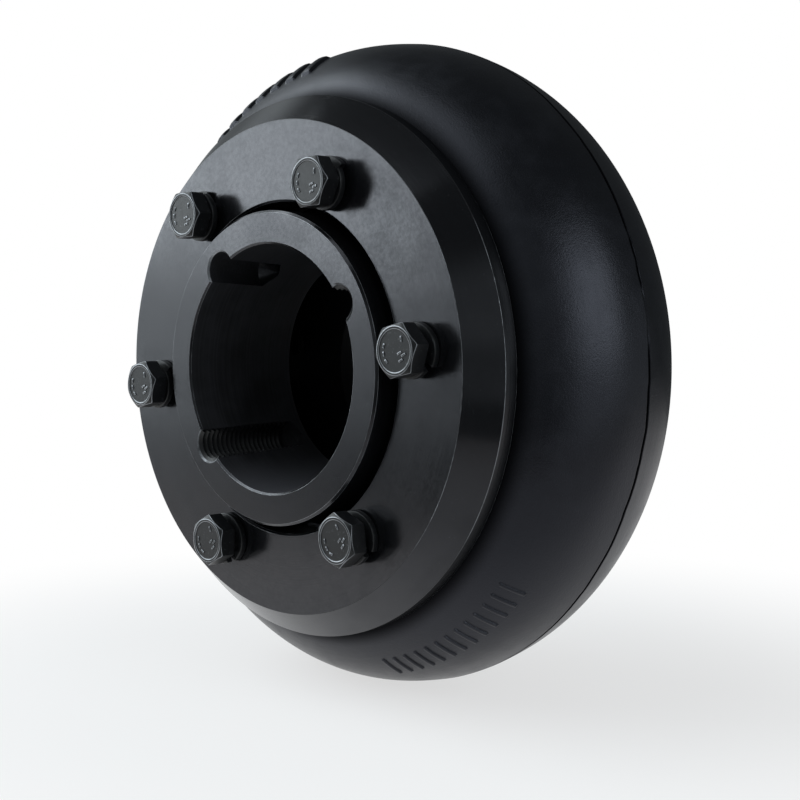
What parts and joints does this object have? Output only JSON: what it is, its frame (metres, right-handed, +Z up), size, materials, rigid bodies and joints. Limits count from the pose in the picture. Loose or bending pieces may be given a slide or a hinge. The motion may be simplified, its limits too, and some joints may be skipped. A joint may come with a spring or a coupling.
{
  "type": "tyre coupling",
  "caption": "Flexible shaft coupling with a split rubber tyre clamped between hubbed flanges and bolted bevelled rings, and open taper bores for shaft bushes.",
  "frame": {"origin": "on the axis, in the middle of the tyre", "axes": "Y along the shafts' axis with the pictured front half towards -Y, +Z up, +X to the right as seen from the front"},
  "size_m": [0.234, 0.1274, 0.234],
  "materials": {
    "rubber": "moulded, satin",
    "flange_iron": "turned and blackened",
    "ring_steel": "turned and blackened",
    "screw_steel": "black oxide",
    "washer_steel": "black oxide"
  },
  "bodies": {
    "root": {"tyre": "rubber", "front_flange": "flange_iron", "rear_flange": "flange_iron", "front_clamp_ring": "ring_steel", "rear_clamp_ring": "ring_steel", "front_screw_1": "screw_steel", "front_screw_2": "screw_steel", "front_screw_3": "screw_steel", "front_screw_4": "screw_steel", "front_screw_5": "screw_steel", "front_screw_6": "screw_steel", "rear_screw_1": "screw_steel", "rear_screw_2": "screw_steel", "rear_screw_3": "screw_steel", "rear_screw_4": "screw_steel", "rear_screw_5": "screw_steel", "rear_screw_6": "screw_steel", "front_spring_washer_1": "washer_steel", "front_spring_washer_2": "washer_steel", "front_spring_washer_3": "washer_steel", "front_spring_washer_4": "washer_steel", "front_spring_washer_5": "washer_steel", "front_spring_washer_6": "washer_steel", "rear_spring_washer_1": "washer_steel", "rear_spring_washer_2": "washer_steel", "rear_spring_washer_3": "washer_steel", "rear_spring_washer_4": "washer_steel", "rear_spring_washer_5": "washer_steel", "rear_spring_washer_6": "washer_steel"}
  },
  "joints": []
}
